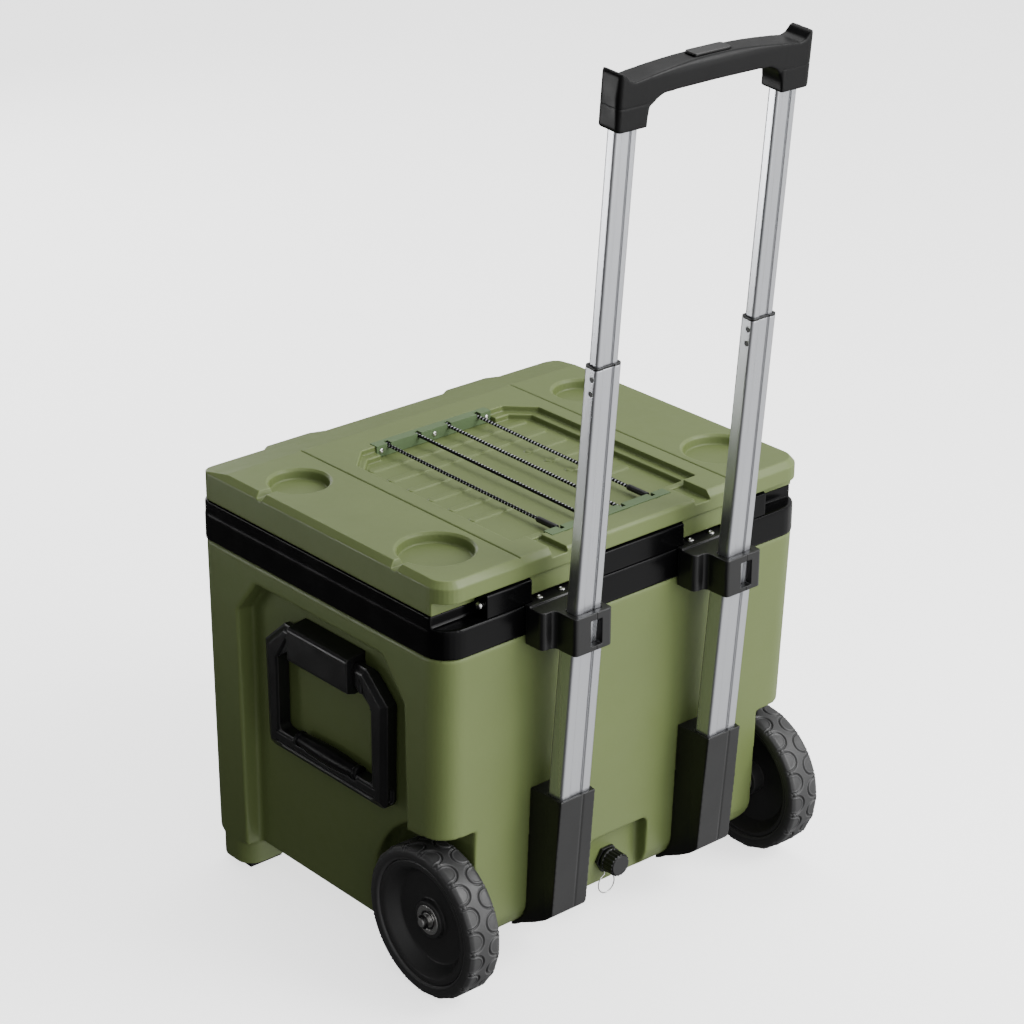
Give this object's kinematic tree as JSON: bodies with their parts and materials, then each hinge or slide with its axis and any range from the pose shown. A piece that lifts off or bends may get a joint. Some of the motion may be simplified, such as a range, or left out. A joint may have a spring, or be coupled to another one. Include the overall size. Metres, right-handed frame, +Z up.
{
  "type": "wheeled cooler",
  "caption": "Hard-sided wheeled cooler with a telescoping pull handle, hinged lid with cup holders and cargo tray, fold-out side handles and a drain.",
  "frame": {"origin": "centre of the whole bounding box in plan, on the ground plane under the wheels and feet", "axes": "+Z up, the pull handle leans towards -Y, the latches face +Y, X runs along the axle"},
  "size_m": [0.606, 0.6204, 1.177],
  "materials": {
    "green_plastic": "satin",
    "foam": "matte",
    "liner_plastic": "satin",
    "gloss_black": "gloss",
    "satin_black": "satin",
    "grip_black": "matte",
    "rubber": "matte",
    "tyre": "matte",
    "aluminium": "satin",
    "green_aluminium": "satin",
    "steel": "satin",
    "cord": "matte"
  },
  "bodies": {
    "tub": {"outer_shell": "green_plastic", "foam_core": "foam", "inner_liner": "liner_plastic", "rim_collar": "gloss_black", "foot_pads": "rubber", "hinge_blocks": "gloss_black", "hinge_pins": "steel", "latch_keepers": "steel", "boot_left": "satin_black", "boot_right": "satin_black", "tube_bracket_left": "satin_black", "tube_bracket_right": "satin_black", "tube_bracket_screws": "steel", "lower_tube_left": "aluminium", "lower_tube_right": "aluminium", "axle_stubs": "steel", "axle_clips": "steel", "handle_block_left": "satin_black", "handle_block_right": "satin_black", "block_screws": "steel", "bail_pins": "steel", "drain_fitting": "satin_black", "drain_nut": "satin_black", "drain_lanyard": "steel"},
    "lid": {"lid_shell": "green_plastic", "lid_foam": "foam", "lid_liner": "liner_plastic", "lid_gasket": "rubber", "latch_pins": "steel", "bungee_bracket_front": "green_aluminium", "bungee_bracket_rear": "green_aluminium", "bungee_bracket_screws": "steel", "bungee_cord": "cord", "cord_end_clips": "satin_black"},
    "left_latch": {"latch_left": "satin_black"},
    "right_latch": {"latch_right": "satin_black"},
    "middle_stage": {"middle_tube_left": "aluminium", "middle_tube_right": "aluminium", "middle_tube_bushes": "satin_black", "bush_rivets": "satin_black"},
    "upper_stage": {"upper_tube_left": "aluminium", "upper_tube_right": "aluminium", "release_rods": "steel", "lock_pins": "steel", "grip": "grip_black", "button_spring": "steel"},
    "button": {"grip_button": "satin_black"},
    "left_wheel": {"rim_left": "satin_black", "tyre_left": "tyre", "bearings_left": "steel"},
    "right_wheel": {"rim_right": "satin_black", "tyre_right": "tyre", "bearings_right": "steel"},
    "left_bail": {"bail_left": "satin_black", "bail_grip_left": "grip_black"},
    "right_bail": {"bail_right": "satin_black", "bail_grip_right": "grip_black"},
    "cap": {"drain_cap": "satin_black"}
  },
  "joints": [
    {"name": "lid_hinge", "type": "hinge", "parent": "tub", "child": "lid", "pos_m": [0, -0.17484, 0.5235], "axis": [1, 0, 0], "range_deg": [0, 90]},
    {"name": "left_latch_hinge", "type": "hinge", "parent": "lid", "child": "left_latch", "pos_m": [-0.15, 0.30116, 0.545], "axis": [1, 0, 0], "range_deg": [0, 80]},
    {"name": "right_latch_hinge", "type": "hinge", "parent": "lid", "child": "right_latch", "pos_m": [0.15, 0.30116, 0.545], "axis": [1, 0, 0], "range_deg": [0, 80]},
    {"name": "middle_slide", "type": "slide", "parent": "tub", "child": "middle_stage", "axis": [0, 0.0837, -0.9965], "range_m": [0, 0.3]},
    {"name": "upper_slide", "type": "slide", "parent": "middle_stage", "child": "upper_stage", "axis": [0, 0.0837, -0.9965], "range_m": [0, 0.274]},
    {"name": "button_press", "type": "slide", "parent": "upper_stage", "child": "button", "axis": [0, 0.0837, -0.9965], "range_m": [0, 0.004], "stiffness_N_per_m": 900, "deforming": ["button_spring"]},
    {"name": "left_wheel_spin", "type": "hinge", "parent": "tub", "child": "left_wheel", "pos_m": [-0.275, -0.13884, 0.1], "axis": [1, 0, 0], "continuous": true},
    {"name": "right_wheel_spin", "type": "hinge", "parent": "tub", "child": "right_wheel", "pos_m": [0.275, -0.13884, 0.1], "axis": [1, 0, 0], "continuous": true},
    {"name": "left_bail_hinge", "type": "hinge", "parent": "tub", "child": "left_bail", "pos_m": [-0.289, 0.05316, 0.39], "axis": [0, 1, 0], "range_deg": [0, 90]},
    {"name": "right_bail_hinge", "type": "hinge", "parent": "tub", "child": "right_bail", "pos_m": [0.289, 0.05316, 0.39], "axis": [0, -1, 0], "range_deg": [0, 90]},
    {"name": "cap_turn", "type": "hinge", "parent": "tub", "child": "cap", "pos_m": [-0.003, -0.15184, 0.085], "axis": [0, -1, 0], "range_deg": [0, 90]}
  ]
}
